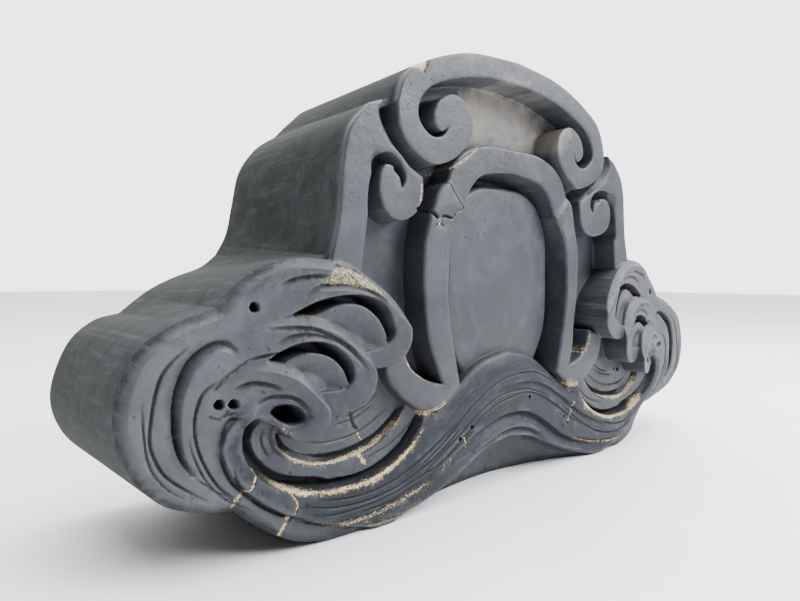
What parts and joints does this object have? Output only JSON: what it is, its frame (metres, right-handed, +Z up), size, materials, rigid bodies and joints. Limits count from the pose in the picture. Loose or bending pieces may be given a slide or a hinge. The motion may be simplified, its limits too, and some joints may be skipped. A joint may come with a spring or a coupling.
{
  "type": "roof end tile",
  "caption": "Ridge-end roof tile of grey clay: arched top with two scrolls, framed blank boss, breaking waves at both sides, hollow back.",
  "frame": {"origin": "middle of the underside: centre of the bounding box in X and Y, on the surface the tile stands on", "axes": "+X along the tile's width, -Y out of the carved face, +Z up"},
  "size_m": [0.5224, 0.141, 0.284],
  "materials": {
    "smoked_clay": "smoked grey unglazed fired clay, satin, with dusty deposits in the grooves"
  },
  "bodies": {
    "root": {"roof_end_tile": "smoked_clay"}
  },
  "joints": []
}
